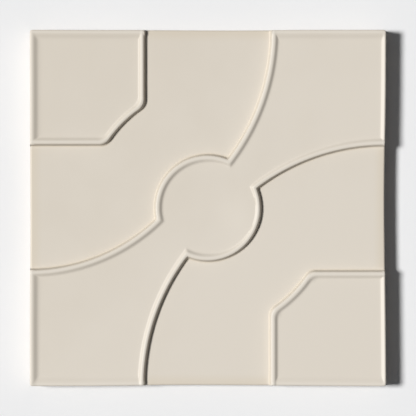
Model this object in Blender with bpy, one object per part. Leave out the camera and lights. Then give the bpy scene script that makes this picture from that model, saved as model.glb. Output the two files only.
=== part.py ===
"""Relief accent tile: one pressed and fired clay tile with a flat back and a raised pattern on its face.

Units are metres. The back lies on z = 0, the face looks along +Z, and the tile is centred on the Z axis.
Seen from above, +X is to the right and +Y is to the top.

The top left and bottom right corners carry a raised square each. Its inner corner is cut by an arc about
the middle of the tile. The top right and bottom left corners are joined by a raised ribbon. Four long arcs,
which leave the tile's sides at a right angle, narrow the ribbon towards the middle, where it swells into a
disc. The left arc is bent more than the others. Every raised field has a rounded rim along its whole edge.
Between the raised fields the face is low and plain.
"""
import math

import bmesh
import bpy
import numpy as np

# Outline, and how far each side is drawn in at its middle, by the direction that it faces
SIDE = 0.1524
DRAWN_IN = {(1, 0): 0.00065, (0, 1): 0.00015, (-1, 0): 0.0001, (0, -1): 0.0004}
CORNER_ROUND = 0.0009
BACK_CHAMFER = 0.0007

# Heights over the back
LOW_LEVEL = 0.0089
FIELD_LEVEL = 0.0104
RIM_LEVEL = 0.0114

# Raised fields, measured from the tile's middle to the middle of their walls
SQUARE_FOOT = 0.0270
UPPER_SQUARE_FLANK = 0.0270
LOWER_SQUARE_FLANK = 0.0267
SQUARE_CUT_RADIUS = 0.0511
DISC_RADIUS = 0.0227
TOP_ARC_START = 0.0271
LEFT_ARC_START = 0.0264
RIGHT_ARC_START = 0.0267
ARC_RADIUS = 0.0918
LEFT_ARC_RADIUS = 0.0784
WALL_OUTSIDE_OUTLINE = 0.0002

# Section across a raised field's edge: distance inside the middle of the wall, height over the back
WALL_AND_RIM = [
    (-0.0012, LOW_LEVEL - 0.0002),
    (-0.00056, LOW_LEVEL + 0.00008),
    (-0.0003, LOW_LEVEL + 0.00040),
    (0.00024, RIM_LEVEL - 0.00034),
    (0.00045, RIM_LEVEL - 0.00012),
    (0.0008, RIM_LEVEL - 0.00003),
    (0.0013, RIM_LEVEL),
    (0.0018, RIM_LEVEL - 0.00005),
    (0.0021, RIM_LEVEL - 0.00020),
    (0.0026, RIM_LEVEL - 0.00058),
    (0.0029, FIELD_LEVEL + 0.00020),
    (0.0032, FIELD_LEVEL + 0.00005),
    (0.0037, FIELD_LEVEL),
]

# Section across the rounded edge of the low face: distance inside the outline, height over the back
LOW_EDGE = [
    (-0.0004, LOW_LEVEL - 0.0018),
    (0.0000, LOW_LEVEL - 0.00062),
    (0.0001, LOW_LEVEL - 0.00030),
    (0.00025, LOW_LEVEL - 0.00015),
    (0.00045, LOW_LEVEL - 0.00004),
    (0.0008, LOW_LEVEL),
]

# The solids start below the back and the trimming block ends above the rim, so that each cut is a clean one
SOLID_BOTTOM = -0.002
BLOCK_TOP = RIM_LEVEL + 0.002

# Points along each kind of boundary
SIDE_POINTS = 24
FIELD_SIDE_POINTS = 10
STRAIGHT_POINTS = 3
CUT_POINTS = 10
ARC_POINTS = 14
DISC_POINTS = 44
CORNER_SEGMENTS = 4


class Line:
    """A straight boundary. Its normal points out of the material, `reach` away from the origin."""

    def __init__(self, normal, reach):
        self.normal = np.array(normal, float)
        self.reach = reach

    def depth(self, point):
        return self.reach - self.normal @ point

    def inward(self, point):
        return -self.normal

    def walk(self, start, end, steps):
        return start + np.linspace(0.0, 1.0, steps, endpoint=False)[:, None] * (end - start)


class Circle:
    """A round boundary, with the material inside the circle (side = 1) or outside it (side = -1)."""

    def __init__(self, centre, radius, side):
        self.centre = np.array(centre, float)
        self.radius = radius
        self.side = side

    def depth(self, point):
        return self.side * (self.radius - np.linalg.norm(point - self.centre))

    def inward(self, point):
        spoke = self.centre - point
        return self.side * spoke / np.linalg.norm(spoke)

    def walk(self, start, end, steps):
        spoke = start - self.centre
        other = end - self.centre
        first = math.atan2(spoke[1], spoke[0])
        turn = math.remainder(math.atan2(other[1], other[0]) - first, math.tau)
        angles = first + turn * np.linspace(0.0, 1.0, steps, endpoint=False)
        radius = np.linalg.norm(spoke)
        return self.centre + radius * np.stack([np.cos(angles), np.sin(angles)], axis=1)


class Side:
    """A side of the tile that faces `direction`, drawn in by `drawn_in` at its middle and not at its ends.

    The share that it is drawn in by is (1 - s * s) cubed, where s goes from -1 to 1 along the side. The side
    lies `outside` the real outline.
    """

    def __init__(self, direction, drawn_in, outside):
        self.direction = np.array(direction, float)
        self.along = np.array([-direction[1], direction[0]], float)
        self.drawn_in = drawn_in
        self.reach = SIDE / 2 + outside

    def share(self, place):
        return np.clip(place / (SIDE / 2), -1.0, 1.0)

    def surface(self, place):
        return self.reach - self.drawn_in * (1 - self.share(place) ** 2) ** 3

    def depth(self, point):
        return self.surface(point @ self.along) - point @ self.direction

    def inward(self, point):
        share = self.share(point @ self.along)
        tilt = 6 * self.drawn_in * share * (1 - share ** 2) ** 2 / (SIDE / 2)
        return tilt * self.along - self.direction

    def walk(self, start, end, steps):
        places = np.linspace(start @ self.along, end @ self.along, steps, endpoint=False)
        reaches = self.surface(places) - self.depth(start)
        return places[:, None] * self.along + reaches[:, None] * self.direction


def crossing(first, second, depth, near):
    """The point that lies `depth` inside both boundaries, found by Newton steps from the point `near`."""
    point = np.array(near, float)
    for _ in range(20):
        slopes = np.array([first.inward(point), second.inward(point)])
        misses = np.array([first.depth(point) - depth, second.depth(point) - depth])
        point = point - np.linalg.solve(slopes, misses)
    return point


def outline(boundaries, depth):
    """Points of a closed outline, `depth` inside its boundaries, always the same number for every depth.

    Each entry of `boundaries` is a boundary, a point near the place where it starts, and its number of points.
    """
    curves = [entry[0] for entry in boundaries]
    corners = [
        crossing(curves[i - 1], curves[i], depth, boundaries[i][1]) for i in range(len(boundaries))
    ]
    parts = [
        curves[i].walk(corners[i], corners[(i + 1) % len(corners)], boundaries[i][2])
        for i in range(len(boundaries))
    ]
    return np.concatenate(parts)


def solid(name, boundaries, section, collection):
    """A closed solid: its wall is swept up from the bottom through the rings of the section, then capped."""
    rings = [(section[0][0], SOLID_BOTTOM)] + list(section)
    return loft(name, [(outline(boundaries, depth), height) for depth, height in rings], collection)


def loft(name, rings, collection):
    """A closed solid through rings of equal point count, each one flat at its own height."""
    bm = bmesh.new()
    loops = [[bm.verts.new((x, y, height)) for x, y in points] for points, height in rings]
    count = len(loops[0])
    for lower, upper in zip(loops, loops[1:]):
        for i in range(count):
            j = (i + 1) % count
            bm.faces.new((lower[i], lower[j], upper[j], upper[i]))
    bm.faces.new(list(reversed(loops[0])))
    bm.faces.new(loops[-1])
    bm.normal_update()
    mesh = bpy.data.meshes.new(name)
    bm.to_mesh(mesh)
    bm.free()
    mesh.shade_smooth()
    mesh.set_sharp_from_angle(angle=math.radians(50.0))
    item = bpy.data.objects.new(name, mesh)
    collection.objects.link(item)
    return item


def tile_side(direction, outside):
    """The tile's side that faces `direction`, moved `outside` the real outline."""
    return Side(direction, DRAWN_IN[direction], outside)


def tile_outline():
    """The four sides of the tile, anticlockwise."""
    half = SIDE / 2
    return [
        (tile_side((1, 0), 0.0), (half, -half), SIDE_POINTS),
        (tile_side((0, 1), 0.0), (half, half), SIDE_POINTS),
        (tile_side((-1, 0), 0.0), (-half, half), SIDE_POINTS),
        (tile_side((0, -1), 0.0), (-half, -half), SIDE_POINTS),
    ]


def field_side(direction, near):
    """A field's wall along the tile's side, with the point near its start and its number of points."""
    return (tile_side(direction, WALL_OUTSIDE_OUTLINE), near, FIELD_SIDE_POINTS)


def corner_square(turn, flank):
    """The raised square in the top left corner, or the one in the bottom right corner where `turn` is -1.

    Its upright wall lies `flank` from the tile's middle, and an arc about that middle cuts its inner corner.
    """
    half = SIDE / 2
    cut = math.sqrt(SQUARE_CUT_RADIUS ** 2 - SQUARE_FOOT ** 2)
    return [
        field_side((-turn, 0), (-turn * half, turn * half)),
        (Line((0, -turn), -SQUARE_FOOT), (-turn * half, turn * SQUARE_FOOT), STRAIGHT_POINTS),
        (Circle((0, 0), SQUARE_CUT_RADIUS, -1), (-turn * cut, turn * SQUARE_FOOT), CUT_POINTS),
        (Line((turn, 0), -flank), (-turn * flank, turn * cut), STRAIGHT_POINTS),
        field_side((0, turn), (-turn * flank, turn * half)),
    ]


def on_disc(degrees):
    """A point on the disc's outline."""
    angle = math.radians(degrees)
    return (DISC_RADIUS * math.cos(angle), DISC_RADIUS * math.sin(angle))


def ribbon():
    """The raised ribbon from the top right to the bottom left corner, with the disc in its middle.

    Each long arc has its centre on the line of the side that it starts from, so it leaves that side squarely.
    """
    half = SIDE / 2
    top_arc = Circle((TOP_ARC_START - ARC_RADIUS, half), ARC_RADIUS, -1)
    left_arc = Circle((-half, LEFT_ARC_RADIUS - LEFT_ARC_START), LEFT_ARC_RADIUS, -1)
    bottom_arc = Circle((ARC_RADIUS - TOP_ARC_START, -half), ARC_RADIUS, -1)
    right_arc = Circle((half, RIGHT_ARC_START - ARC_RADIUS), ARC_RADIUS, -1)
    disc = Circle((0, 0), DISC_RADIUS, 1)
    return [
        field_side((1, 0), (half, RIGHT_ARC_START)),
        field_side((0, 1), (half, half)),
        (top_arc, (TOP_ARC_START, half), ARC_POINTS),
        (disc, on_disc(67), DISC_POINTS),
        (left_arc, on_disc(193), ARC_POINTS),
        field_side((-1, 0), (-half, -LEFT_ARC_START)),
        field_side((0, -1), (-half, -half)),
        (bottom_arc, (-TOP_ARC_START, -half), ARC_POINTS),
        (disc, on_disc(247), DISC_POINTS),
        (right_arc, on_disc(22), ARC_POINTS),
    ]


def trimming_block(collection):
    """A tall block with the tile's true outline, rounded corners and a small chamfer round the back."""
    sides = tile_outline()
    rings = [
        (outline(sides, BACK_CHAMFER), 0.0),
        (outline(sides, 0.0), BACK_CHAMFER),
        (outline(sides, 0.0), BLOCK_TOP),
    ]
    block = loft("trimming_block", rings, collection)
    round_corners(block.data)
    return block


def round_corners(mesh):
    """Rounds the block's four upright corners and the corners of its chamfer."""
    bm = bmesh.new()
    bm.from_mesh(mesh)
    reach = SIDE / 2 - CORNER_ROUND
    upright = [
        edge for edge in bm.edges
        if all(abs(v.co.x) > reach and abs(v.co.y) > reach for v in edge.verts)
        and abs(edge.verts[0].co.z - edge.verts[1].co.z) > BACK_CHAMFER / 2
    ]
    bmesh.ops.bevel(
        bm, geom=upright, offset=CORNER_ROUND, segments=CORNER_SEGMENTS, profile=0.5, affect="EDGES"
    )
    bm.to_mesh(mesh)
    bm.free()


def make_glaze():
    """Cream glaze over fired clay."""
    material = bpy.data.materials.new("cream_glaze")
    material.use_nodes = True
    shader = material.node_tree.nodes["Principled BSDF"]
    shader.inputs["Base Color"].default_value = (0.68, 0.62, 0.54, 1.0)
    shader.inputs["Roughness"].default_value = 0.45
    shader.inputs["Metallic"].default_value = 0.0
    return material


def add_boolean(target, name, operation, operand):
    """Adds one exact Boolean step to the tile."""
    step = target.modifiers.new(name, "BOOLEAN")
    step.operation = operation
    step.solver = "EXACT"
    step.object = operand


def make_collection(name):
    """A collection linked to the scene."""
    collection = bpy.data.collections.new(name)
    bpy.context.scene.collection.children.link(collection)
    return collection


def main():
    for old in list(bpy.data.objects):
        bpy.data.objects.remove(old, do_unlink=True)
    parts = make_collection("relief_tile")
    cutters = make_collection("relief_tile_cutters")

    tile = solid("relief_tile", tile_outline(), LOW_EDGE, parts)
    fields = [
        solid("ribbon_field", ribbon(), WALL_AND_RIM, cutters),
        solid("upper_square_field", corner_square(1, UPPER_SQUARE_FLANK), WALL_AND_RIM, cutters),
        solid("lower_square_field", corner_square(-1, LOWER_SQUARE_FLANK), WALL_AND_RIM, cutters),
    ]
    for field in fields:
        add_boolean(tile, "join_" + field.name, "UNION", field)
    block = trimming_block(cutters)
    add_boolean(tile, "trim_to_outline", "INTERSECT", block)

    tile.data.materials.append(make_glaze())
    for item in cutters.objects:
        item.hide_render = True
        item.display_type = "WIRE"


main()
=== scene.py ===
# %% [markdown]
# # A relief accent tile
#
# This is a wall tile of pressed clay under a cream glaze. Two opposite corners carry a raised square, and a
# raised ribbon with a disc in its middle joins the other two corners. Every raised field has a rounded rim,
# which catches the light. The packed model is the frame: it gives the tile's place and size, and a finer
# surface takes its place.

# %% Load the frame
import math

import bpy
import numpy as np
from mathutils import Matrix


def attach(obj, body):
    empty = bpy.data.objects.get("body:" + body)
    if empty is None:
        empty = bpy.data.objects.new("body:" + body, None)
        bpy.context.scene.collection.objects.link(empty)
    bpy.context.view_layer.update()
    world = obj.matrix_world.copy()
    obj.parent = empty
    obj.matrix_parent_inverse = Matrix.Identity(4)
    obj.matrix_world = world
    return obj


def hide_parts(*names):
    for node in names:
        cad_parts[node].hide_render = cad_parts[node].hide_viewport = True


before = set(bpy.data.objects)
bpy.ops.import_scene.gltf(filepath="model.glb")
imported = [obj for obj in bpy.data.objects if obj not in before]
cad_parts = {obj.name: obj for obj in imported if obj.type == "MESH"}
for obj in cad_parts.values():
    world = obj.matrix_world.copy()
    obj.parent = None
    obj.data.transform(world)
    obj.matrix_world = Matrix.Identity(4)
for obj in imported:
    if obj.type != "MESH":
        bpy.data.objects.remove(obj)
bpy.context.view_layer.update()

MM = 0.001

# %% [markdown]
# ## The lines of the relief
#
# A potter would cut this pattern into a plaster mould along a few straight lines and arcs. The ribbon's four
# long arcs leave the tile's sides at a right angle, which is what lets such a pattern repeat. The left arc is
# bent more than the others. Each size below is taken to the middle of a wall. The squares' walls and the
# starts of the arcs are measured from the tile's centre lines.

# %% Sizes of the pattern
HALF_SIDE = 76.2 * MM
SQUARE_FOOT = 27.0 * MM
UPPER_SQUARE_FLANK = 27.0 * MM
LOWER_SQUARE_FLANK = 26.7 * MM
SQUARE_CUT_RADIUS = 51.1 * MM
DISC_RADIUS = 22.7 * MM
TOP_ARC_START = 27.1 * MM
LEFT_ARC_START = 26.4 * MM
RIGHT_ARC_START = 26.7 * MM
ARC_RADIUS = 91.8 * MM
LEFT_ARC_RADIUS = 78.4 * MM

# %% [markdown]
# All of the relief can be told from one number: how deep a point lies inside the raised fields. So each line
# of the pattern is kept as a boundary that gives this depth for any point. There are two kinds, straight and
# round. Both also tell which way is inward, and place points along themselves, which the mesh needs later.

# %% Straight boundaries
class Straight:
    """A straight boundary that lies `reach` from the tile's middle in a direction."""

    def __init__(self, direction, reach):
        self.direction = np.array(direction, float)
        self.reach = reach

    def depth(self, points):
        """The reach, less how far a point lies in the boundary's direction."""
        return self.reach - points @ self.direction

    def inward(self, points):
        """The way in which depth grows: against the direction, at every point."""
        return np.broadcast_to(-self.direction, points.shape)

    def walk(self, start, end, shares):
        """The start plus each share of the way from the start to the end."""
        return start[:, None] + shares[None, :, None] * (end - start)[:, None]


side_right = Straight((1, 0), HALF_SIDE)
side_top = Straight((0, 1), HALF_SIDE)
side_left = Straight((-1, 0), HALF_SIDE)
side_bottom = Straight((0, -1), HALF_SIDE)
square_foot = Straight((0, -1), -SQUARE_FOOT)
upper_flank = Straight((1, 0), -UPPER_SQUARE_FLANK)
lower_flank = Straight((1, 0), -LOWER_SQUARE_FLANK)
print("depth of the tile's middle in mm:", round(side_right.depth(np.zeros(2)) / MM, 2))


# %% Round boundaries
class Round:
    """A round boundary, with the deep side inside its circle (side 1) or outside it (side -1)."""

    def __init__(self, centre, radius, side):
        self.centre = np.array(centre, float)
        self.radius = radius
        self.side = side

    def depth(self, points):
        """The radius less the distance from the centre, or its opposite where the deep side is outside."""
        return self.side * (self.radius - np.linalg.norm(points - self.centre, axis=-1))

    def inward(self, points):
        """The way in which depth grows: towards the centre, or away where the deep side is outside."""
        spokes = self.centre - points
        return self.side * spokes / np.linalg.norm(spokes, axis=-1, keepdims=True)

    def walk(self, start, end, shares):
        """Points of the circle through the start, at each share of the shorter turn from start to end."""
        first = start - self.centre
        last = end - self.centre
        angle = np.arctan2(first[:, 1], first[:, 0])
        turn = np.arctan2(last[:, 1], last[:, 0]) - angle
        turn = (turn + math.pi) % math.tau - math.pi
        angles = angle[:, None] + turn[:, None] * shares[None, :]
        radius = np.linalg.norm(first, axis=-1)[:, None]
        return self.centre + np.stack([radius * np.cos(angles), radius * np.sin(angles)], axis=-1)


square_cut = Round((0, 0), SQUARE_CUT_RADIUS, -1)
disc = Round((0, 0), DISC_RADIUS, 1)
left_arc = Round((-HALF_SIDE, LEFT_ARC_RADIUS - LEFT_ARC_START), LEFT_ARC_RADIUS, -1)
top_arc = Round((TOP_ARC_START - ARC_RADIUS, HALF_SIDE), ARC_RADIUS, -1)
right_arc = Round((HALF_SIDE, RIGHT_ARC_START - ARC_RADIUS), ARC_RADIUS, -1)
bottom_arc = Round((ARC_RADIUS - TOP_ARC_START, -HALF_SIDE), ARC_RADIUS, -1)
print("centre of the left arc in mm:", np.round(left_arc.centre / MM, 1).tolist())

# %% [markdown]
# ## One depth for the whole pattern
#
# A point is inside a square, or one half of the ribbon, when it is inside all of its boundaries, so its depth
# there is the smallest of theirs. It is inside the pattern when it is inside any of these or the disc, so the
# largest of their depths counts. Glaze rounds the corners where boundaries meet, and an eased minimum or
# maximum does the same.

# %% Smallest and largest depths
CORNER_EASE = 1.0 * MM
CUT_EASE = 2.4 * MM
DISC_EASE = 0.7 * MM


def soft_min(a, b, reach):
    """The smaller of two numbers, less a quarter of `reach` times the square of their nearness.

    Their nearness is 1 where they are equal, and 0 where they are `reach` or more apart.
    """
    near = np.maximum(reach - np.abs(a - b), 0.0) / reach
    return np.minimum(a, b) - near * near * reach / 4


def soft_max(a, b, reach):
    """The larger of two numbers, eased in the same way."""
    return -soft_min(-a, -b, reach)


print("smaller of two equal depths in mm:", soft_min(0.0, 0.0, CORNER_EASE) / MM)


# %% Depth inside the raised fields
def square_depth(points, flank):
    """Depth in a square: the smallest of the depths at its foot, its flank and its cut."""
    corner = soft_min(square_foot.depth(points), flank.depth(points), CORNER_EASE)
    return soft_min(corner, square_cut.depth(points), CUT_EASE)


def ribbon_depth(points):
    """Depth in the ribbon: the smaller of two arcs' depths in each half, or the disc's where it is larger."""
    lower_arm = soft_min(left_arc.depth(points), bottom_arc.depth(points), CORNER_EASE)
    upper_arm = soft_min(top_arc.depth(points), right_arc.depth(points), CORNER_EASE)
    band = np.where(points.sum(axis=-1) > 0, upper_arm, lower_arm)
    return soft_max(band, disc.depth(points), DISC_EASE)


def field_depth(points):
    """Depth inside the raised fields: the largest of the depths in the two squares and the ribbon."""
    squares = np.maximum(square_depth(points, upper_flank), square_depth(-points, lower_flank))
    return np.maximum(squares, ribbon_depth(points))


spots = np.array([[0.0, 0.0], [50.0, -50.0], [30.0, -30.0], [0.0, 21.3]]) * MM
print("depth at the disc, a square, the low face and the disc's rim:", np.round(field_depth(spots) / MM, 2))

# %% [markdown]
# ## The section across an edge
#
# Clay that is pressed in a mould and then dipped in glaze has no sharp edges. From the low face the wall
# starts in a small cove, climbs steeply, rolls over a rounded rim and slopes gently down to the raised field.
# The section is drawn through a few points and then smoothed with a bell-shaped average, which is what the
# melted glaze does.

# %% Smooth curves
CURVE_STEP = 0.02 * MM
CURVE_MARGIN = 4 * MM
BELL_REACH = 4


def smooth_curve(places, heights, softness):
    """A function through points, joined by straight lines and then averaged with a bell curve.

    The bell curve is `softness` wide, and cut off at BELL_REACH times that.
    """
    grid = np.arange(min(places) - CURVE_MARGIN, max(places) + CURVE_MARGIN, CURVE_STEP)
    drawn = np.interp(grid, places, heights)
    reach = np.arange(-BELL_REACH * softness, BELL_REACH * softness + CURVE_STEP, CURVE_STEP)
    bell = np.exp(-0.5 * (reach / softness) ** 2)
    padded = np.pad(drawn, len(reach) // 2, mode="edge")
    eased = np.convolve(padded, bell / bell.sum(), mode="valid")[:len(grid)]
    return lambda x: np.interp(x, grid, eased)


kink = smooth_curve([0.0, 1.0 * MM], [0.0, 1.0 * MM], 0.1 * MM)
print("height of a smoothed kink in mm:", round(kink(0.0) / MM, 3))

# %% Section of a wall, and of the rim along the tile's sides
LOW_LEVEL = 8.9 * MM
FIELD_RISE = 1.47 * MM
RIM_RISE = 1.0 * MM
WALL_SOFTNESS = 0.11 * MM
OUTER_SOFTNESS = 0.13 * MM

# Depth inside the middle of the wall, and height over the low face, both in mm
wall_points = np.array([
    (-0.8, 0.0), (-0.46, 0.07), (-0.22, 0.36), (0.24, 2.16), (0.43, 2.37),
    (0.78, 2.45), (1.35, 2.48), (1.75, 2.45), (2.0, 2.35), (2.3, 2.12),
    (2.6, 1.88), (2.9, 1.66), (3.15, 1.53), (3.45, 1.475), (3.7, 1.47),
])
wall_section = smooth_curve(wall_points[:, 0] * MM, wall_points[:, 1] * MM, WALL_SOFTNESS)

# Distance from the tile's side in mm, and share of the rim's rise
outer_points = np.array([
    (0.0, 1.0), (0.8, 1.0), (1.15, 0.95), (1.5, 0.80), (1.9, 0.54),
    (2.3, 0.29), (2.7, 0.11), (3.1, 0.03), (3.6, 0.0),
])
outer_share = smooth_curve(outer_points[:, 0] * MM, outer_points[:, 1], OUTER_SOFTNESS)

samples = np.arange(-2, 5) * MM
print("wall and rim above the low face in mm:", np.round(wall_section(samples) / MM, 2))

# %% [markdown]
# ## The height of the face
#
# The face is one height for each point of the plan. The depth inside the raised fields gives the wall and
# the rim, and the distance from the tile's own edge gives the rim and the rounding there. Where two rims meet
# in a corner, the higher one wins, so they join like the mouldings of a picture frame.
#
# The rims of the real tile aren't even. A wall that faces right lies a little further in, and its rim falls
# off sooner. So there the depth is shifted and stretched before the section is read.

# %% Walls, and how they change where they face right
CREST_DEPTH = 1.35 * MM
RIGHT_STRETCH = 0.50
RIGHT_SHIFT = 0.12 * MM
PROBE = 0.1 * MM


def faces_right(points, depth):
    """How far the nearest wall faces right, from 0 to 1: the depth lost over a short way to the right."""
    moved = points + np.array([PROBE, 0.0])
    return np.clip((depth - field_depth(moved)) / PROBE, 0.0, 1.0)


def wall_height(points):
    """Height over the low face: the section at the depth, shifted and stretched where the wall faces right.

    The shift is inwards. The stretch acts past the rim's crest only.
    """
    depth = field_depth(points)
    past_crest = np.maximum(depth - CREST_DEPTH, 0.0)
    change = RIGHT_STRETCH * past_crest - RIGHT_SHIFT
    return wall_section(depth + faces_right(points, depth) * change)


print("wall heights at the same spots in mm:", np.round(wall_height(spots) / MM, 2))

# %% [markdown]
# Along the tile's sides the rim is high and broad at the top and the left, low and broad at the bottom, and
# low and narrow at the right. At the right of the disc the field swells almost to the rim's height, so hardly
# any rim is seen there.

# %% Rims along the tile's sides, and the swell
# By the way that a side faces: the rise of its rim as a share of RIM_RISE, and the stretch of its width
OUTER_RIMS = {
    (1, 0): (0.65, 0.70),
    (0, 1): (0.92, 1.40),
    (-1, 0): (0.92, 1.26),
    (0, -1): (0.60, 1.40),
}
SWELL = 0.55 * MM
SWELL_MIDDLE = np.array([20.5, -3.0]) * MM
SWELL_REACH = 8.0 * MM


def outer_rim(points):
    """Rise of the rim along the tile's sides: the highest of the four sides' rims."""
    rims = [share * RIM_RISE * outer_share((HALF_SIDE - points @ np.array(side, float)) / stretch)
            for side, (share, stretch) in OUTER_RIMS.items()]
    return np.max(rims, axis=0)


def swell(points):
    """Rise of the field at the right of the disc: a bell curve of the distance from the swell's middle."""
    distance = np.linalg.norm(points - SWELL_MIDDLE, axis=-1)
    return SWELL * np.exp(-0.5 * (distance / SWELL_REACH) ** 2)


print("swell over its middle in mm:", round(swell(SWELL_MIDDLE) / MM, 2))

# %% [markdown]
# The tile's own edge is rounded, the low face falls a little towards it, and the drying has left a slow and
# shallow wave in the whole face. With these the height of the face is complete.

# %% Rounding, slope and wave
EDGE_ROUND = 0.7 * MM
EDGE_DROP = 0.62 * MM
LOW_SLOPE_WIDTH = 3.2 * MM
LOW_SLOPE_DROP = 0.05 * MM
WAVE = 0.05 * MM

# For each wave: its strength, its turn in radians over half a side in x and in y, and its start
LONG_WAVES = [(1.0, 2.1, 1.3, 0.7), (0.8, -1.9, 3.3, 2.0), (0.5, 5.2, 2.4, -1.1), (0.4, -3.8, 4.4, 0.3)]


def edge_distance(points):
    """Distance inside the tile's square outline."""
    return HALF_SIDE - np.abs(points).max(axis=-1)


def edge_rounding(distance):
    """Height lost at the rounded edge: a quarter of an ellipse, EDGE_ROUND wide and EDGE_DROP high."""
    share = np.clip(1 - distance / EDGE_ROUND, 0.0, 1.0)
    return EDGE_DROP * (1 - np.sqrt(1 - share * share))


def low_slope(distance):
    """Height lost by the low face towards the edge: a parabola that ends LOW_SLOPE_WIDTH inside it."""
    return LOW_SLOPE_DROP * np.clip(1 - distance / LOW_SLOPE_WIDTH, 0.0, 1.0) ** 2


def slow_wave(points):
    """The sum of four long sine waves, brought between -1 and 0."""
    x, y = points[..., 0] / HALF_SIDE, points[..., 1] / HALF_SIDE
    total = sum(size * np.sin(along * x + up * y + start) for size, along, up, start in LONG_WAVES)
    most = sum(size for size, *_ in LONG_WAVES)
    return (total / most - 1) / 2


lost = edge_rounding(np.array([0.0, 0.2]) * MM)
print("height lost at the edge and 0.2 mm inside it, in mm:", np.round(lost / MM, 2))

# %% Height of the face
RIM_EASE = 0.1 * MM


def face_height(points):
    """Height over the back: the low level, the wall up to the field and the highest rim or swell over it.

    The rounding is taken off everywhere and the slope off the low face, and the wave is added.
    """
    section = wall_height(points)
    inside = edge_distance(points)
    raised = np.minimum(section / FIELD_RISE, 1.0)
    outer_rise = raised * np.maximum(outer_rim(points), swell(points))
    rims = soft_max(np.maximum(section - FIELD_RISE, 0.0), outer_rise, RIM_EASE)
    losses = edge_rounding(inside) + (1 - raised) * low_slope(inside)
    return LOW_LEVEL + FIELD_RISE * raised + rims - losses + WAVE * slow_wave(points)


print("heights of disc, square, low face and disc rim in mm:", np.round(face_height(spots) / MM, 2))

# %% [markdown]
# ## Rings that follow the relief
#
# A plain square grid would cut across the arcs and leave their walls jagged. Here the mesh is carried along
# the pattern instead: rings run beside each boundary, packed closely where the section bends. Where a wall
# meets the tile's side the rings turn the corner, so the same rings carry the rim along the tile's outer
# edge. That is why both lists of rings below have the same length.

# %% Depths of the rings
FIELD_RINGS = np.array([
    -1.6, -1.1, -0.85, -0.65, -0.5, -0.35, -0.22, -0.06, 0.1, 0.24, 0.38,
    0.55, 0.8, 1.2, 1.6, 1.95, 2.3, 2.65, 3.0, 3.35, 3.9,
]) * MM
OUTER_RINGS = np.array([
    0.0, 0.015, 0.04, 0.08, 0.14, 0.22, 0.32, 0.44, 0.58, 0.75, 0.95,
    1.15, 1.35, 1.6, 1.85, 2.1, 2.4, 2.7, 3.0, 3.4, 4.0,
]) * MM
print("rings beside walls:", len(FIELD_RINGS), "and beside the tile's sides:", len(OUTER_RINGS))

# %% [markdown]
# A ring's corner is the point that has the right depth inside two boundaries at once. Newton's method finds
# it: take the slopes of both depths, step to where they would both be right, and repeat.

# %% Corners of rings
NEWTON_STEPS = 20


def crossing(first, first_depths, second, second_depths, near):
    """Points at given depths inside two boundaries, found for all rings together by Newton's method."""
    points = np.tile(np.array(near, float), (len(first_depths), 1))
    for _ in range(NEWTON_STEPS):
        slopes = np.stack([first.inward(points), second.inward(points)], axis=1)
        misses = np.stack([first.depth(points) - first_depths, second.depth(points) - second_depths], axis=1)
        points = points - np.linalg.solve(slopes, misses[..., None])[..., 0]
    return points


def meets_disc(arc, angle):
    """The point where an arc crosses the disc's outline, near the given angle in degrees round the disc."""
    near = DISC_RADIUS * np.array([math.cos(math.radians(angle)), math.sin(math.radians(angle))])
    return crossing(arc, np.zeros(1), disc, np.zeros(1), near)[0]


left_meeting = meets_disc(left_arc, 192)
top_meeting = meets_disc(top_arc, 65)
right_meeting = meets_disc(right_arc, 25)
bottom_meeting = meets_disc(bottom_arc, 245)
meetings = np.array([left_meeting, top_meeting, right_meeting, bottom_meeting])
print("the arcs meet the disc at, in mm:", np.round(meetings / MM, 1).tolist())

# %% [markdown]
# Between two corners the points are spread by shares of the way, from 0 to 1. They are close together where
# a boundary meets the tile's side and where a wall crosses the rim along that side, because both bend there.

# %% Spacing along a boundary
FINE_PLACES = np.arange(0.0, 7.6, 0.4) * MM


def shares_from_side(length, count):
    """Shares of a boundary that starts at the tile's side: the outer rings' distances, then even steps."""
    close = OUTER_RINGS / length
    return np.concatenate([close, np.linspace(close[-1], 1.0, count + 1)[1:-1]])


def turned_round(shares):
    """The same shares, counted from the other end of the boundary."""
    return 1 - np.append(shares, 1.0)[::-1][:-1]


def shares_to_wall(length, count):
    """Shares of a stretch of the tile's side that ends at a wall: even steps, then fine ones at the wall."""
    fine = FINE_PLACES / length
    return 1 - np.concatenate([fine, np.linspace(fine[-1], 1.0, count + 1)[1:]])[::-1][:-1]


print("shares of a boundary near the side:", np.round(shares_from_side(50.0 * MM, 10)[:5], 4))

# %% [markdown]
# ## The outlines of a square and of the ribbon
#
# Each outline is a list of boundaries in order. For every ring the corner points between neighbours are found
# first, and the points between them are then spread along the line or arc. Every ring has the same number of
# points, so the rings form a grid with one row for each ring.

# %% Grids of rings
ALONG_SIDE = 41
ALONG_WALL = 62
ALONG_DISC = 72


def outer(line, start, shares):
    """A stretch of the tile's own side, which starts near a point and has the outer rings."""
    return {"line": line, "start": start, "shares": shares, "depths": OUTER_RINGS}


def inner(line, start, shares):
    """A stretch of wall, which starts near a point and has the field rings."""
    return {"line": line, "start": start, "shares": shares, "depths": FIELD_RINGS}


def ring_grid(pieces):
    """Rings by points: each piece's corner points for all rings, followed by the points along the piece."""
    corners = []
    for before, piece in zip([pieces[-1]] + pieces[:-1], pieces):
        corner = crossing(before["line"], before["depths"], piece["line"], piece["depths"], piece["start"])
        corners.append(corner)
    ends = corners[1:] + corners[:1]
    parts = [piece["line"].walk(a, b, piece["shares"]) for piece, a, b in zip(pieces, corners, ends)]
    return np.concatenate(parts, axis=1)


cut_end = math.sqrt(SQUARE_CUT_RADIUS ** 2 - SQUARE_FOOT ** 2)
to_wall = shares_to_wall(HALF_SIDE - SQUARE_FOOT, ALONG_SIDE)
from_wall = turned_round(to_wall)
along_cut = np.arange(ALONG_DISC) / ALONG_DISC
print("points along a stretch of the tile's side:", len(to_wall), "and along the cut:", len(along_cut))


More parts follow.
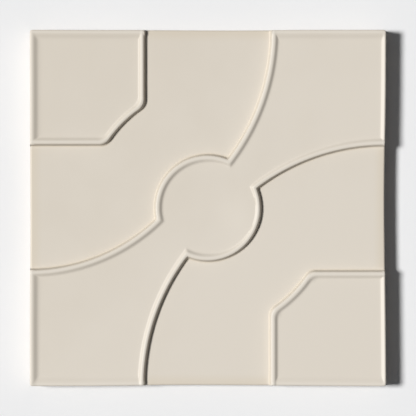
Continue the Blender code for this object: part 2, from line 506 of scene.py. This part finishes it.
# %% Rings of the squares
def square_outline(flank):
    """The five boundaries of the square in the top left corner, with its upright wall on the given line."""
    from_side = shares_from_side(HALF_SIDE - cut_end, ALONG_WALL)
    return [
        outer(side_left, (-HALF_SIDE, HALF_SIDE), to_wall),
        inner(square_foot, (-HALF_SIDE, SQUARE_FOOT), from_side),
        inner(square_cut, (-cut_end, SQUARE_FOOT), along_cut),
        inner(flank, (flank.reach, cut_end), turned_round(from_side)),
        outer(side_top, (flank.reach, HALF_SIDE), from_wall),
    ]


# The lower square is turned by half a turn about the tile's middle
upper_rings = ring_grid(square_outline(upper_flank))
lower_rings = -ring_grid(square_outline(lower_flank))
print("rings by points of a square:", upper_rings.shape)

# %% Rings of the ribbon
left_length = math.dist((-HALF_SIDE, -LEFT_ARC_START), left_meeting)
arc_length = math.dist((HALF_SIDE, RIGHT_ARC_START), right_meeting)
along_left = shares_from_side(left_length, ALONG_WALL)
along_arc = shares_from_side(arc_length, ALONG_WALL)
upper_half = [
    outer(side_left, (-HALF_SIDE, -HALF_SIDE), to_wall),
    inner(left_arc, (-HALF_SIDE, -LEFT_ARC_START), along_left),
    inner(disc, left_meeting, along_cut),
    inner(top_arc, top_meeting, turned_round(along_arc)),
    outer(side_top, (TOP_ARC_START, HALF_SIDE), from_wall),
]
lower_half = [
    outer(side_right, (HALF_SIDE, HALF_SIDE), to_wall),
    inner(right_arc, (HALF_SIDE, RIGHT_ARC_START), along_arc),
    inner(disc, right_meeting, along_cut),
    inner(bottom_arc, bottom_meeting, turned_round(along_arc)),
    outer(side_bottom, (-TOP_ARC_START, -HALF_SIDE), from_wall),
]
ribbon_rings = ring_grid(upper_half + lower_half)
print("rings by points of the ribbon:", ribbon_rings.shape)

# %% [markdown]
# ## Filling between the rings
#
# What is left is flat: the inside of each field, and the low face between a square and the ribbon. The low
# face and the ribbon's inside are ruled like a ladder, with straight rungs between two rails that have the
# same number of points. In the ribbon they join points that mirror each other across a diagonal of the tile.
# A square's inside can't be ruled so, because its cut is hollow and straight rungs would cross it. There the
# last ring shrinks to its middle.

# %% Rungs between two rails, and rings that shrink
def rungs(rail, other, count):
    """A grid between two rails: each point moves from the first rail to the second by equal shares."""
    shares = np.linspace(0.0, 1.0, count + 1)[None, :, None]
    return rail[:, None] * (1 - shares) + other[:, None] * shares


def mirrored_rungs(ring, count):
    """Rungs across a closed ring: each point is joined to the point as far round the other way."""
    half = len(ring) // 2
    forward = ring[:half + 1]
    backward = ring[-np.arange(half + 1)]
    return rungs(forward, backward, count)


def shrinking_rings(ring, count):
    """The ring at ever smaller sizes, down to one point in its middle."""
    middle = ring.mean(axis=0)
    sizes = np.linspace(1.0, 0.0, count + 1)[:, None, None]
    return middle + (ring[None] - middle) * sizes


def closed_ring(rings):
    """The rings with their first point repeated at the end."""
    return np.concatenate([rings, rings[:, :1]], axis=1)


unit_ring = np.array([(0.0, 0.0), (1.0, 0.0), (1.0, 1.0), (0.0, 1.0)])
print("the first corner of a shrinking square:", shrinking_rings(unit_ring, 2)[:, 0].tolist())

# %% All grids of the plan
ACROSS_RIBBON = 30
ACROSS_LOW = 40
TO_MIDDLE = 16

upper_loop = closed_ring(upper_rings)
lower_loop = closed_ring(lower_rings)
ribbon_loop = closed_ring(ribbon_rings)
half_loop = ribbon_rings.shape[1] // 2
rail_start = len(to_wall)
rail_end = upper_rings.shape[1] - len(from_wall) + 1
upper_rail = ribbon_loop[0, rail_start:rail_end]
lower_rail = ribbon_loop[0, half_loop + rail_start:half_loop + rail_end]
upper_low = rungs(upper_loop[0, rail_start:rail_end], upper_rail, ACROSS_LOW)
lower_low = rungs(lower_loop[0, rail_start:rail_end], lower_rail, ACROSS_LOW)
upper_inside = shrinking_rings(upper_loop[-1], TO_MIDDLE)
lower_inside = shrinking_rings(lower_loop[-1], TO_MIDDLE)
ribbon_inside = mirrored_rungs(ribbon_rings[-1], ACROSS_RIBBON)
plan_grids = [upper_loop, lower_loop, ribbon_loop, upper_low, lower_low]
plan_grids += [upper_inside, lower_inside, ribbon_inside]
print("points in the plan:", sum(grid.shape[0] * grid.shape[1] for grid in plan_grids))

# %% [markdown]
# ## From the ideal square to a fired tile
#
# Clay shrinks as it dries, and it draws in more along the middle of a side than at a corner. It does so
# unevenly: here the right side draws in most and the left side hardly at all. The corners are rounded too.
# Both are done to the plan as a whole, so the sides and the back follow the face without a gap.

# %% Shrinkage and rounded corners
DRAWN_IN_RIGHT_TOP = np.array([0.65, 0.15]) * MM
DRAWN_IN_LEFT_BOTTOM = np.array([0.10, 0.40]) * MM
CORNER_ROUND = 0.9 * MM
SIDE_WAVE = 0.08 * MM
WAVE_ALONG = 7.3
WAVE_OUT = 5.1
WAVE_START = 1.7
TINY = 1e-9


def rounded_plan(points):
    """Square rings bent round the corners.

    What reaches past the start of a corner's rounding, in x and in y, is scaled so that its length becomes
    the larger of the two.
    """
    inner_part = HALF_SIDE - CORNER_ROUND
    excess = np.maximum(np.abs(points) - inner_part, 0.0)
    length = np.maximum(np.linalg.norm(excess, axis=-1, keepdims=True), TINY)
    pulled = excess * excess.max(axis=-1, keepdims=True) / length
    return np.sign(points) * (np.minimum(np.abs(points), inner_part) + pulled)


def fired_plan(points):
    """The rounded plan, with each side drawn in and given a small wave.

    With s for the share of the way out to a side and t for the share of the way along it, the side is drawn
    in by its amount times (1 - t squared) cubed times s cubed. The wave is a sine of both, brought between 0
    and 1, times s to the fifth power and (1 - t to the fourth power), so it dies out at the corners.
    """
    rounded = rounded_plan(points)
    out = rounded / HALF_SIDE
    along = out[..., ::-1]
    drawn_in = np.where(out > 0, DRAWN_IN_RIGHT_TOP, DRAWN_IN_LEFT_BOTTOM)
    sag = drawn_in * (1 - along ** 2) ** 3 * out ** 3
    ripple = 0.5 + 0.5 * np.sin(WAVE_ALONG * along + WAVE_OUT * out + WAVE_START)
    wave = SIDE_WAVE * ripple * out ** 5 * (1 - along ** 4)
    return rounded - sag - wave


corners_of_plan = fired_plan(np.array([[HALF_SIDE, HALF_SIDE], [HALF_SIDE, 0.0], [0.0, HALF_SIDE]]))
print("corner and middles of two sides in mm:", np.round(corners_of_plan / MM, 2).tolist())

# %% [markdown]
# ## The sides and the back
#
# The sides run from the rounded edge of the face straight down to a small chamfer round the back. They are
# one grid that goes once round the tile. Its top row is the outermost line of the face, collected in order
# from the grids above, so that face and sides share their points.

# %% Points round the outline
SAME_POINT = 1e-7


def half_outline(square, low, first):
    """Half of the ideal outline: along two sides of the tile, from one end of the ribbon to the other.

    Each side has a stretch of the ribbon, one of the low face and one of the square. An end point that two
    stretches share comes twice, and the second is left out. `first` is the number of the ribbon's first point
    in that half.
    """
    square_side = square[0, :rail_start + 1]
    square_top = square[0, rail_end - 1:]
    ribbon_side = ribbon_loop[0, first:first + rail_start + 1]
    ribbon_top = ribbon_loop[0, first + rail_end - 1:first + half_loop + 1]
    top = [ribbon_top[::-1], low[-1][::-1], square_top]
    side = [square_side, low[0], ribbon_side[::-1]]
    half = np.concatenate(top + side)
    keep = np.append(True, np.linalg.norm(np.diff(half, axis=0), axis=1) > SAME_POINT)
    return half[keep]


upper_outline = half_outline(upper_loop, upper_low, 0)
lower_outline = half_outline(lower_loop, lower_low, half_loop)
closed_outline = np.concatenate([upper_outline[:-1], lower_outline[:-1], upper_outline[:1]])
print("points round the outline:", len(closed_outline) - 1)

# %% Grid of the sides
BACK_CHAMFER = 0.7 * MM
SIDE_ROWS = 10
ROW_CROWDING = 1.6


def side_grid(outline):
    """Rows by points: from the face's edge down to the chamfer, and a last row on the back.

    The rows' shares of the way down are even steps to the power ROW_CROWDING, so they crowd near the edge.
    """
    top = face_height(outline)
    shares = np.linspace(0.0, 1.0, SIDE_ROWS) ** ROW_CROWDING
    heights = top[None] * (1 - shares[:, None]) + BACK_CHAMFER * shares[:, None]
    heights = np.concatenate([heights, np.zeros((1, len(outline)))])
    shrink = np.append(np.ones(SIDE_ROWS), 1 - BACK_CHAMFER / HALF_SIDE)
    plan = fired_plan(outline)[None] * shrink[:, None, None]
    return np.concatenate([plan, heights[..., None]], axis=-1)


sides = side_grid(closed_outline)
print("side grid:", sides.shape)

# %% [markdown]
# ## One closed mesh
#
# Every grid becomes four-sided faces, and the shared points are merged, so that the tile is one closed skin.
# The depth inside the fields and the distance from the edge are kept on the points as attributes. The glaze
# reads them: it is made deeper at the foot of a wall, where it gathers and where painted shade is added, and
# paler over a rim, where it runs thin and where a painted highlight is added.

# %% Points and faces of all grids
def grid_faces(rows, columns, first):
    """Four corners of every cell of a grid whose points are numbered from `first`, row by row."""
    cells = np.arange((rows - 1) * columns).reshape(rows - 1, columns)[:, :-1].ravel() + first
    return np.stack([cells, cells + 1, cells + columns + 1, cells + columns], axis=1)


def face_surface(plan):
    """A plan grid with the face's height over each point, moved to where the fired tile has it."""
    return np.concatenate([fired_plan(plan), face_height(plan)[..., None]], axis=-1)


surfaces = [face_surface(plan) for plan in plan_grids] + [sides]
plans = plan_grids + [np.broadcast_to(closed_outline[None], sides.shape[:2] + (2,))]
counts = [surface.shape[0] * surface.shape[1] for surface in surfaces]
starts = np.cumsum([0] + counts)
quads = np.concatenate([grid_faces(*surface.shape[:2], first) for surface, first in zip(surfaces, starts)])
points = np.concatenate([surface.reshape(-1, 3) for surface in surfaces])
flat = np.concatenate([plan.reshape(-1, 2) for plan in plans])
print("points:", len(points), "four-sided faces:", len(quads))

# %% The mesh and its attributes
# The last row of the last grid lies on the back, and one face closes it
mesh = bpy.data.meshes.new("glazed_tile")
back_start = len(points) - len(closed_outline)
back_face = list(range(back_start, len(points) - 1))
mesh.from_pydata(points, [], quads.tolist() + [back_face])
for name, values in (("field_depth", field_depth(flat)), ("edge_distance", edge_distance(flat))):
    kept = mesh.attributes.new(name, "FLOAT", "POINT")
    kept.data.foreach_set("value", values.astype(np.float32))
print("before merging:", len(mesh.vertices), "points and", len(mesh.polygons), "faces")

# %% [markdown]
# The grids lie on top of each other along their shared lines, so equal points are merged. The rungs shrink to
# nothing at the corners of a field, and merging also closes those. Then all faces are turned outwards.

# %% Merge and shade
import bmesh

MERGE_DISTANCE = 0.002 * MM
SHARP_ANGLE = math.radians(40.0)

bm = bmesh.new()
bm.from_mesh(mesh)
bmesh.ops.remove_doubles(bm, verts=bm.verts, dist=MERGE_DISTANCE)
bmesh.ops.recalc_face_normals(bm, faces=bm.faces)
open_edges = sum(len(edge.link_faces) != 2 for edge in bm.edges)
bm.to_mesh(mesh)
bm.free()
mesh.shade_smooth()
mesh.set_sharp_from_angle(angle=SHARP_ANGLE)
mesh.calc_loop_triangles()
print("after merging:", len(mesh.vertices), "points and", len(mesh.loop_triangles), "triangles")
print("open edges:", open_edges)

# %% The tile takes the solid's place
tile = bpy.data.objects.new("glazed_tile", mesh)
bpy.context.scene.collection.objects.link(tile)
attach(tile, "root")
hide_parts("relief_tile")
print("the tile stands for:", sorted(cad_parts))

# %% [markdown]
# ## Shader maths as Python expressions
#
# A material is a graph of nodes, and sums in it take a Math node for each sign. The small class below wraps
# the output of a node, so that an expression such as `1 - mask * 0.5` adds those nodes by itself. Every other
# node comes from one function, which takes the node's type, its settings and what goes into its sockets.

# %% Wires for shader maths
class Wire:
    """A number, colour or vector in a material. With + - and * it adds a Math node to the same material."""

    def __init__(self, socket):
        self.socket = socket

    def math(self, operation, *values):
        """A Math node of that operation on the given values, in their order."""
        return node(self.socket.id_data, "ShaderNodeMath", {"operation": operation}, dict(enumerate(values)))

    def __add__(self, other):
        return self.math("ADD", self, other)

    def __radd__(self, other):
        return self.math("ADD", other, self)

    def __sub__(self, other):
        return self.math("SUBTRACT", self, other)

    def __rsub__(self, other):
        return self.math("SUBTRACT", other, self)

    def __mul__(self, other):
        return self.math("MULTIPLY", self, other)

    def __rmul__(self, other):
        return self.math("MULTIPLY", other, self)


signs = [name for name in vars(Wire) if name.strip("_")[-3:] in ("add", "sub", "mul")]
print("signs that a wire takes:", signs)


# %% One function for every node
def find_socket(made, key):
    """An input by its number, or the first one in use that has the given name."""
    if isinstance(key, int):
        return made.inputs[key]
    return next(socket for socket in made.inputs if socket.enabled and socket.name == key)


def node(tree, kind, settings, sockets, output=0):
    """Adds a node: first its settings, then a value or a wire for each socket, by name or by number.

    What comes back is a wire on one of its outputs in use, by number.
    """
    made = tree.nodes.new(kind)
    for name, value in settings.items():
        setattr(made, name, value)
    for key, value in sockets.items():
        socket = find_socket(made, key)
        if isinstance(value, Wire):
            tree.links.new(value.socket, socket)
        else:
            socket.default_value = value
    return Wire([socket for socket in made.outputs if socket.enabled][output])


trial = bpy.data.materials.new("trial")
trial.use_nodes = True
half = 1 - node(trial.node_tree, "ShaderNodeValue", {}, {}) * 0.5
print("1 - value * 0.5 ends in this node:", half.socket.node.operation)
bpy.data.materials.remove(trial)

# %% [markdown]
# ## Masks
#
# A mask is a wire between 0 and 1 that says where a colour or a roughness holds. All masks here are made with
# two smooth shapes: a step between two values, and a hump about one value. Noise gives the clouds and the
# grain. Its scale is in waves for each metre, because the patterns read Object coordinates, which are metres
# on this object.

# %% Steps, humps and noise
# The output of an Attribute node that gives a number
NUMBER_OUTPUT = 2


def step(tree, value, start, end):
    """A smooth step: 0 at `start` and before it, 1 at `end` and past it, with a smoothstep curve between."""
    return node(tree, "ShaderNodeMapRange", {"interpolation_type": "SMOOTHSTEP"},
                {"Value": value, "From Min": start, "From Max": end})


def hump(tree, value, middle, reach):
    """A smooth hump: 1 where the value is `middle`, falling to 0 at `reach` to either side."""
    gap = value - middle
    return step(tree, gap.math("ABSOLUTE", gap), reach, 0.0)


def noise(tree, place, waves, detail=2.0):
    """Noise between 0 and 1, with that many waves for each metre, and finer ones `detail` times over."""
    return node(tree, "ShaderNodeTexNoise", {},
                {"Vector": place, "Scale": waves, "Detail": detail, "Roughness": 0.5})


def blend(tree, mask, first, second):
    """A colour that goes from the first to the second as the mask goes from 0 to 1."""
    return node(tree, "ShaderNodeMix", {"data_type": "RGBA"}, {"Factor": mask, "A": first, "B": second})


def attribute(tree, name):
    """A number that is kept on the points of the mesh."""
    return node(tree, "ShaderNodeAttribute", {"attribute_name": name}, {}, output=NUMBER_OUTPUT)


def coordinate(tree, place, axis):
    """One of a place's three coordinates: 0 for x, 1 for y and 2 for z."""
    return node(tree, "ShaderNodeSeparateXYZ", {}, {"Vector": place}, output=axis)


helpers = (step, hump, noise, blend, attribute, coordinate)
print("helpers for masks:", [helper.__name__ for helper in helpers])

# %% [markdown]
# ## Cream glaze
#
# The glaze on the real tile is a satin cream with no pattern of its own. It melts in the kiln and moves a
# little: it runs thin over the rims, where the pale clay shines through, and gathers at the feet of the
# walls, where it looks deeper and warmer. The paler rims are also a painted highlight, and the deeper feet
# are also painted shade beside the walls. It is a little warmer towards the top left corner too, with slow
# clouds of tone, and its skin is very slightly uneven. Each of these is a mask that mixes a near colour in,
# and none of them is strong.

# %% Tone of the glaze
GLAZE_WARM = (0.662, 0.600, 0.510, 1.0)
GLAZE_PALE = (0.694, 0.634, 0.547, 1.0)
CLOUD_WAVES = 16.0
MOTTLE_WAVES = 70.0
CLOUD_SHARE = 0.6
TONE_DRIFT = 3.5
TONE_STEP = (0.05, 0.70)


def glaze_tone(tree, place):
    """Large clouds and small mottles between two creams, with a drift to the warmer one at the top left.

    The mask is a step over the noise plus TONE_DRIFT times how far, in metres, a point lies to the right and
    to the bottom.
    """
    x = coordinate(tree, place, 0)
    y = coordinate(tree, place, 1)
    clouds = noise(tree, place, CLOUD_WAVES) * CLOUD_SHARE
    mottles = noise(tree, place, MOTTLE_WAVES, detail=3.0) * (1 - CLOUD_SHARE)
    mask = step(tree, clouds + mottles + (x - y) * TONE_DRIFT, *TONE_STEP)
    return blend(tree, mask, GLAZE_WARM, GLAZE_PALE)


print("glaze tones:", GLAZE_WARM[:3], GLAZE_PALE[:3])

# %% Masks of thin and pooled glaze, with a painted highlight and painted shade
FOOT_SHARE = 0.45
FOOT_LEAST = 0.35
FOOT_PATCHES = 0.5
FOOT_WAVES = 120.0
BEAD_SHARE = 0.6
BORDER_SHARE = 0.25

# Middle and reach of humps, over the depth inside the fields or the distance from an edge or the glaze line
WALL_CREST = (1.25 * MM, 0.95 * MM)
SIDE_CREST = (0.9 * MM, 0.9 * MM)
WALL_FOOT = (-0.45 * MM, 0.9 * MM)
BEAD = (0.3 * MM, 0.5 * MM)

# Start and end of steps, over the same
INSIDE_FIELD = (0.3 * MM, 1.0 * MM)
OUTSIDE_FIELD = (-0.5 * MM, -2.0 * MM)
NEAR_SIDE = (5.5 * MM, 1.0 * MM)


def thin_glaze_and_highlight(tree, depth, edge):
    """Mask of the pale rims, thin glaze and a painted highlight in one: a hump over the walls' crest, and one
    along the tile's sides where a field is.
    """
    along_sides = hump(tree, edge, *SIDE_CREST) * step(tree, depth, *INSIDE_FIELD)
    return hump(tree, depth, *WALL_CREST) + along_sides


def pooled_glaze_and_shade(tree, place, depth, edge, above_line):
    """Mask of the deeper glaze: pooled glaze and painted shade at the feet of the walls, the bead at the
    glaze's lower end, and the low border.

    At the feet, where the glaze pools and shade is painted, it is a hump just outside the wall, times
    FOOT_LEAST plus a noise times FOOT_PATCHES. The bead is a hump over the line where the glaze ends. The
    border is a step towards the tile's sides, where no field is.
    """
    patches = FOOT_LEAST + FOOT_PATCHES * noise(tree, place, FOOT_WAVES)
    at_feet = hump(tree, depth, *WALL_FOOT) * patches
    border = step(tree, edge, *NEAR_SIDE) * step(tree, depth, *OUTSIDE_FIELD)
    bead = hump(tree, above_line, *BEAD)
    return at_feet * FOOT_SHARE + bead * BEAD_SHARE + border * BORDER_SHARE


# The deeper colour at the feet is pooled glaze and painted shade in one.
print("the glaze begins to pool this deep inside a wall, in mm:", round(sum(WALL_FOOT) / MM, 2))

# %% Colour of the glaze
# The deep colour is pooled glaze and painted shade at the feet of the walls.
GLAZE_POOLED_AND_SHADE = (0.600, 0.500, 0.350, 1.0)
# The pale colour is thin glaze over the rims and a painted highlight there.
GLAZE_THIN_AND_HIGHLIGHT = (0.790, 0.748, 0.672, 1.0)
THIN_AND_HIGHLIGHT_SHARE = 0.22


def glaze_colour(tree, place, depth, edge, above_line):
    """The tone of the glaze, made paler on the rims, where it is thin and a highlight is painted, and then
    deeper at the walls' feet, where it is pooled and shade is painted.
    """
    with_rims = blend(tree, thin_glaze_and_highlight(tree, depth, edge) * THIN_AND_HIGHLIGHT_SHARE, glaze_tone(tree, place), GLAZE_THIN_AND_HIGHLIGHT)
    return blend(tree, pooled_glaze_and_shade(tree, place, depth, edge, above_line), with_rims, GLAZE_POOLED_AND_SHADE)


# These are the colours of thin glaze with a painted highlight, and of pooled glaze with painted shade.
print("thin and pooled glaze:", GLAZE_THIN_AND_HIGHLIGHT[:3], GLAZE_POOLED_AND_SHADE[:3])

# %% [markdown]
# ## Bare fired clay
#
# The back and the lower part of the sides are wiped clean before firing, or the glaze would fuse the tile to
# the kiln's shelf. There the fired clay shows: pale buff, rough and a little grainy, with small dark grog in
# it. The line where the glaze stops is uneven, because it was wiped by hand. Here its height is a number plus
# two waves of noise.

# %% Clay colour
CLAY_DARK = (0.400, 0.325, 0.245, 1.0)
CLAY_LIGHT = (0.500, 0.418, 0.325, 1.0)
GROG = (0.210, 0.165, 0.125, 1.0)
GROG_SHARE = 0.8
BLOTCH_WAVES = 60.0
FINE_BLOTCH_WAVES = 500.0
BLOTCH_SHARE = 0.6
BLOTCH_STEP = (0.3, 0.7)
GROG_CELLS = 420.0
GROG_STEP = (0.16, 0.08)
PATCH_WAVES = 180.0
PATCH_STEP = (0.50, 0.62)


def clay_blotches(tree, place):
    """Large and fine blotches of noise between two buffs."""
    large = noise(tree, place, BLOTCH_WAVES, detail=4.0) * BLOTCH_SHARE
    fine = noise(tree, place, FINE_BLOTCH_WAVES) * (1 - BLOTCH_SHARE)
    return blend(tree, step(tree, large + fine, *BLOTCH_STEP), CLAY_DARK, CLAY_LIGHT)


def grog_specks(tree, place):
    """Mask of small specks: near the centres of fine cells, in the patches that a noise leaves."""
    cells = node(tree, "ShaderNodeTexVoronoi", {}, {"Vector": place, "Scale": GROG_CELLS, "Randomness": 1.0})
    patches = step(tree, noise(tree, place, PATCH_WAVES), *PATCH_STEP)
    return step(tree, cells, *GROG_STEP) * patches


def clay_colour(tree, place):
    """The blotches, with dark grog mixed in at the specks."""
    return blend(tree, grog_specks(tree, place) * GROG_SHARE, clay_blotches(tree, place), GROG)


print("clay from", CLAY_DARK[:3], "to", CLAY_LIGHT[:3])

# %% [markdown]
# ## Skins, and the line between them
#
# The skin of each finish is a height in micrometres, which the Bump node reads. The glaze has a slow wave and
# a fine one like orange peel. The clay has grain, and the slight drag of the press plate.

# %% Skins of glaze and clay
SLOW_SKIN_WAVES = 55.0
PEEL_WAVES = 420.0
DRAG_WAVES = 140.0
GRAIN_WAVES = 900.0

# Heights in micrometres
SLOW_SKIN = 50.0
PEEL = 4.0
DRAG = 60.0
GRAIN = 30.0


def glaze_skin(tree, place):
    """The sum of a slow wave and orange peel: each is a noise times its height."""
    return noise(tree, place, SLOW_SKIN_WAVES) * SLOW_SKIN + noise(tree, place, PEEL_WAVES) * PEEL


def clay_skin(tree, place):
    """The sum of grain and the drag of the press plate: each is a noise times its height."""
    grain = noise(tree, place, GRAIN_WAVES, detail=3.0) * GRAIN
    drag = noise(tree, place, DRAG_WAVES, detail=3.0) * DRAG
    return grain + drag


print("a wave of orange peel is", round(1 / PEEL_WAVES / MM, 1), "mm long")
print("a wave of clay grain is", round(1 / GRAIN_WAVES / MM, 1), "mm long")

# %% The line where the glaze ends
GLAZE_LINE = 5.6 * MM
LINE_WANDER = 2.4 * MM
LINE_RAGGED = 0.7 * MM
WANDER_WAVES = 40.0
RAGGED_WAVES = 190.0


def height_over_line(tree, place):
    """How far a point lies over the glaze line, which wanders about its mean height by two noises."""
    wander = noise(tree, place, WANDER_WAVES) * LINE_WANDER
    ragged = noise(tree, place, RAGGED_WAVES) * LINE_RAGGED
    lowest = GLAZE_LINE - (LINE_WANDER + LINE_RAGGED) / 2
    return coordinate(tree, place, 2) - (wander + ragged) - lowest


print("glaze line at about", round(GLAZE_LINE / MM, 1), "mm over the back")

# %% [markdown]
# ## One material for the whole tile
#
# The tile is one piece, so it gets one material. The height over the glaze line decides between clay and
# glaze for the colour, the roughness and the bump. The gloss of the glaze is the same all over, so it is set
# on the shader.

# %% Glazed and fired tile
CLAY_ROUGHNESS = 0.88
GLAZE_ROUGHNESS = 0.45
GLAZE_ROUGHNESS_RANGE = 0.08
SATIN_WAVES = 24.0
GLAZE_FADE = 0.25 * MM
GLAZE_THICKNESS = 60.0
MICROMETRE = 0.000001
GLOSS = 0.40

# The output of a Texture Coordinate node that gives Object coordinates
OBJECT_OUTPUT = 3


def glazed_clay():
    """Clay below the glaze line and glaze above it, in one shader."""
    material = bpy.data.materials.new("glazed_clay")
    material.use_nodes = True
    tree = material.node_tree
    shader = tree.nodes["Principled BSDF"]
    place = node(tree, "ShaderNodeTexCoord", {}, {}, output=OBJECT_OUTPUT)
    above_line = height_over_line(tree, place)
    depth = attribute(tree, "field_depth")
    edge = attribute(tree, "edge_distance")
    glazed = step(tree, above_line, 0.0, GLAZE_FADE)
    glaze = glaze_colour(tree, place, depth, edge, above_line)
    colour = blend(tree, glazed, clay_colour(tree, place), glaze)
    glaze_roughness = GLAZE_ROUGHNESS + GLAZE_ROUGHNESS_RANGE * noise(tree, place, SATIN_WAVES)
    roughness = CLAY_ROUGHNESS - (CLAY_ROUGHNESS - glaze_roughness) * glazed
    skin = clay_skin(tree, place) * (1 - glazed) + (glaze_skin(tree, place) + GLAZE_THICKNESS) * glazed
    bump = node(tree, "ShaderNodeBump", {}, {"Strength": 1.0, "Distance": MICROMETRE, "Height": skin})
    tree.links.new(colour.socket, shader.inputs["Base Color"])
    tree.links.new(roughness.socket, shader.inputs["Roughness"])
    tree.links.new(bump.socket, shader.inputs["Normal"])
    shader.inputs["Specular IOR Level"].default_value = GLOSS
    print("nodes in the tile's material:", len(tree.nodes))
    return material


tile.data.materials.append(glazed_clay())

# %% [markdown]
# ## Floor
#
# The tile lies on its back on a plain pale floor, which is only there for the picture. A matt surface shows
# the tile's shadow well, and the shadow is what tells the eye how thick the tile is.

# %% Pale floor
FLOOR_REACH = 3.0
FLOOR_COLOUR = (0.82, 0.82, 0.82, 1.0)
FLOOR_ROUGHNESS = 0.9
FLOOR_GLOSS = 0.1


def studio_floor():
    """A flat square of four points under the tile, with a pale matt material; it is not part of the tile."""
    corners = [(x * FLOOR_REACH, y * FLOOR_REACH, 0.0) for x, y in ((-1, -1), (1, -1), (1, 1), (-1, 1))]
    floor_mesh = bpy.data.meshes.new("floor")
    floor_mesh.from_pydata(corners, [], [(0, 1, 2, 3)])
    floor = bpy.data.objects.new("floor", floor_mesh)
    bpy.context.scene.collection.objects.link(floor)
    material = bpy.data.materials.new("pale_floor")
    material.use_nodes = True
    shader = material.node_tree.nodes["Principled BSDF"]
    shader.inputs["Base Color"].default_value = FLOOR_COLOUR
    shader.inputs["Roughness"].default_value = FLOOR_ROUGHNESS
    shader.inputs["Specular IOR Level"].default_value = FLOOR_GLOSS
    floor_mesh.materials.append(material)
    return floor


print("floor:", studio_floor().name)

# %% [markdown]
# ## Light and camera
#
# Relief is read from light and shade, so the light matters as much as the shape. One lamp stands far to the
# left and a little to the top, high enough that the walls which face away from it lie in a narrow shadow. Its
# disc is wide, so the shadow's edge is soft. A weak, even and slightly blue light fills the rest. The camera
# looks straight down from well above, with a long lens.

# %% Lamp and fill
LIGHT_ELEVATION = math.radians(54.4)
LIGHT_TURN = math.radians(-3.0)
LIGHT_DISC = math.radians(12.5)
LIGHT_STRENGTH = 3.64
FILL_COLOUR = (0.95, 1.0, 1.09, 1.0)
FILL_STRENGTH = 0.080


def key_light():
    """A lamp far to the left and a little to the top."""
    lamp = bpy.data.lights.new("key_light", "SUN")
    lamp.energy = LIGHT_STRENGTH
    lamp.angle = LIGHT_DISC
    item = bpy.data.objects.new("key_light", lamp)
    item.rotation_euler = (0.0, LIGHT_ELEVATION - math.pi / 2, LIGHT_TURN)
    bpy.context.scene.collection.objects.link(item)


def soft_fill():
    """An even and slightly blue light from all around."""
    world = bpy.data.worlds.new("soft_fill")
    world.use_nodes = True
    background = world.node_tree.nodes["Background"]
    background.inputs["Color"].default_value = FILL_COLOUR
    background.inputs["Strength"].default_value = FILL_STRENGTH
    bpy.context.scene.world = world


key_light()
soft_fill()
print("lamp over the horizon, in degrees:", round(math.degrees(LIGHT_ELEVATION), 1))

# %% Camera
CAMERA_HEIGHT = 1.6
FACE_HEIGHT = 0.0105
VIEW_WIDTH = 0.1779
SENSOR_WIDTH = 36.0


def overhead_camera():
    """A camera straight above the middle of the tile.

    Its lens is the sensor's width times the distance to the face, divided by the width of the view there.
    """
    data = bpy.data.cameras.new("camera")
    data.sensor_width = SENSOR_WIDTH
    data.lens = SENSOR_WIDTH * (CAMERA_HEIGHT - FACE_HEIGHT) / VIEW_WIDTH
    item = bpy.data.objects.new("camera", data)
    item.location = (0.0, 0.0, CAMERA_HEIGHT)
    bpy.context.scene.collection.objects.link(item)
    bpy.context.scene.camera = item
    return data


print("lens in mm:", round(overhead_camera().lens, 1))
bpy.context.scene.view_settings.view_transform = "Standard"

# %% [markdown]
# ## Sizes
#
# The finished tile has to stay inside the box of the frame.
